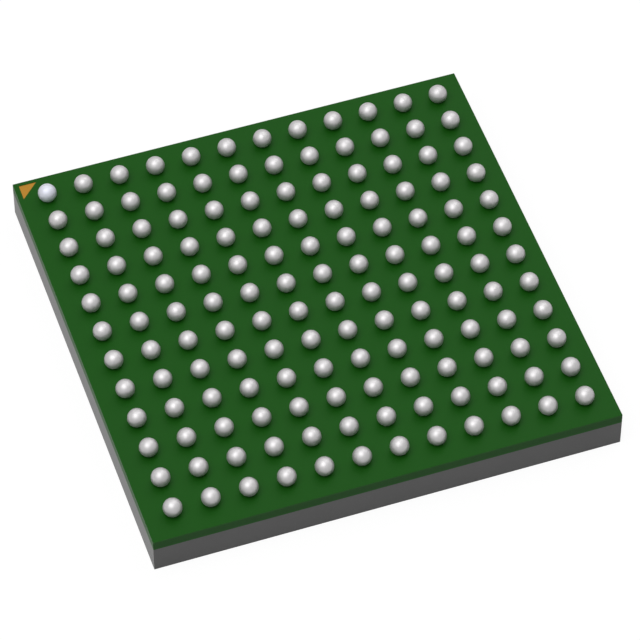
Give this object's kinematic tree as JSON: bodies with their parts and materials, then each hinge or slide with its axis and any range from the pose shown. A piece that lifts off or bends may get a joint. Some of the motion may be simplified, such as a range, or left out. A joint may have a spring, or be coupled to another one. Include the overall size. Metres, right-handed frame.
{
  "type": "ball grid array package",
  "caption": "Square moulded semiconductor package on a green board, with a full grid of solder balls and a gold corner triangle.",
  "frame": {"origin": "middle of the flat moulded marking face, the face the package lies on", "axes": "+Z from the marking face through the package to the balls; the A1 corner is at -X, +Y; ball rows A to M lie one after another along +X and ball numbers 1 to 12 along -Y"},
  "size_m": [0.01, 0.01, 0.0012],
  "materials": {
    "mould_compound": "fine matte, sawn sides",
    "silicon": "smooth dark grey",
    "die_adhesive": "matte tan film",
    "pad_aluminium": "bright",
    "gold": "satin gold plate and gold wire",
    "glass_laminate": "woven glass and resin, sawn edge",
    "copper": "plated copper",
    "plug_resin": "cured resin",
    "solder_mask": "satin green mask",
    "solder": "pale satin solder"
  },
  "bodies": {
    "root": {"mould_cap": "mould_compound", "silicon_die": "silicon", "die_attach_film": "die_adhesive", "die_bond_pads": "pad_aluminium", "bond_wires": "gold", "laminate_core": "glass_laminate", "via_barrels": "copper", "via_plugs": "plug_resin", "die_side_copper": "copper", "die_side_mask": "solder_mask", "ball_side_copper": "copper", "ball_side_mask": "solder_mask", "a1_marker": "gold", "solder_ball_a1": "solder", "solder_balls_row_a": "solder", "solder_balls_row_b": "solder", "solder_balls_row_c": "solder", "solder_balls_row_d": "solder", "solder_balls_row_e": "solder", "solder_balls_row_f": "solder", "solder_balls_row_g": "solder", "solder_balls_row_h": "solder", "solder_balls_row_j": "solder", "solder_balls_row_k": "solder", "solder_balls_row_l": "solder", "solder_balls_row_m": "solder"}
  },
  "joints": []
}
